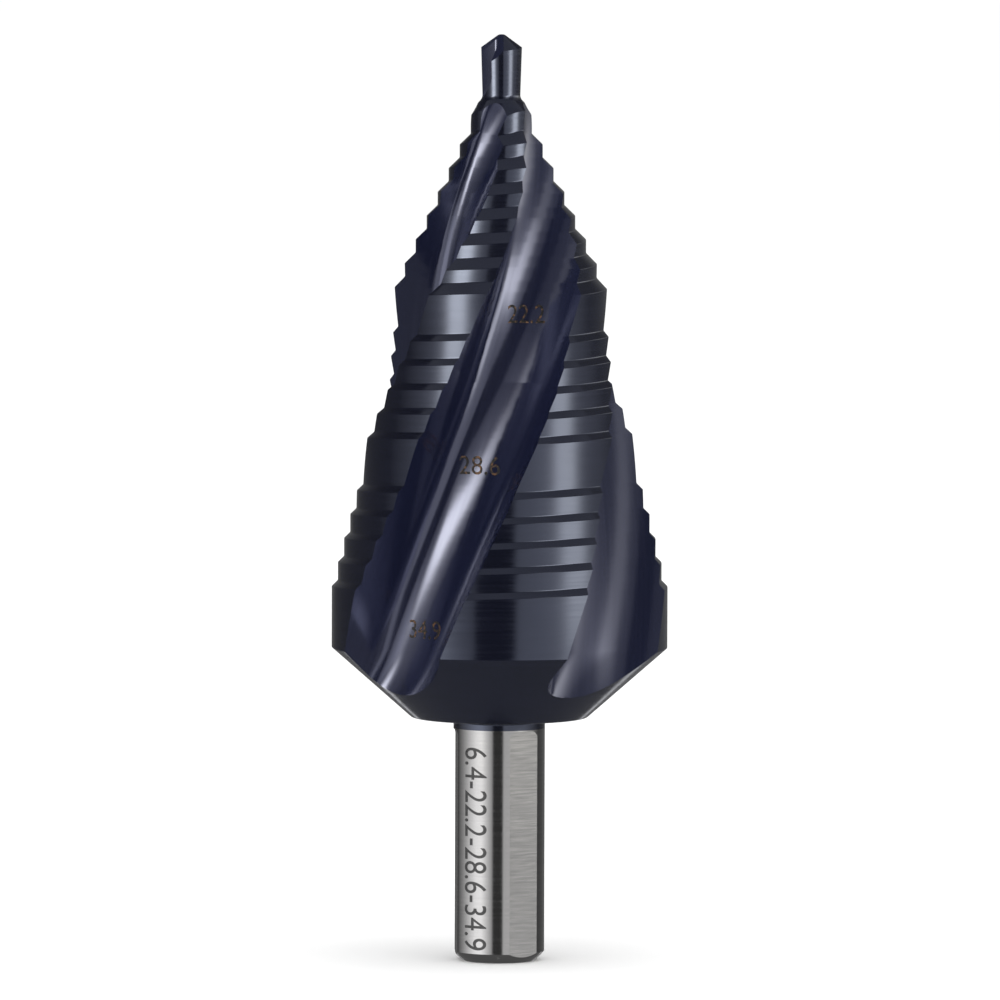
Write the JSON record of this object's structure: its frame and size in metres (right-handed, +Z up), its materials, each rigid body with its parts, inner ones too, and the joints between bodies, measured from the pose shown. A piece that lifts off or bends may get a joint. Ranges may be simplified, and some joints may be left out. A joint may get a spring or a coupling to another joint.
{
  "type": "step drill",
  "caption": "Helical-flute step drill with a split pilot point, rising steps, a back cone and a round shank with chuck flats, for making holes of many sizes in sheet metal.",
  "frame": {"origin": "centre of the shank's flat end face, on the drill's axis", "axes": "+Z up the axis from the shank to the point; -Y is the front, and the first chuck flat faces 35 degrees from the front towards +X"},
  "size_m": [0.035, 0.035, 0.0964],
  "materials": {
    "coated_steel": "dark blue-black hard coating, glossy, over ground high speed steel; the shank is bare satin steel"
  },
  "bodies": {
    "root": {"step_drill": "coated_steel"}
  },
  "joints": []
}
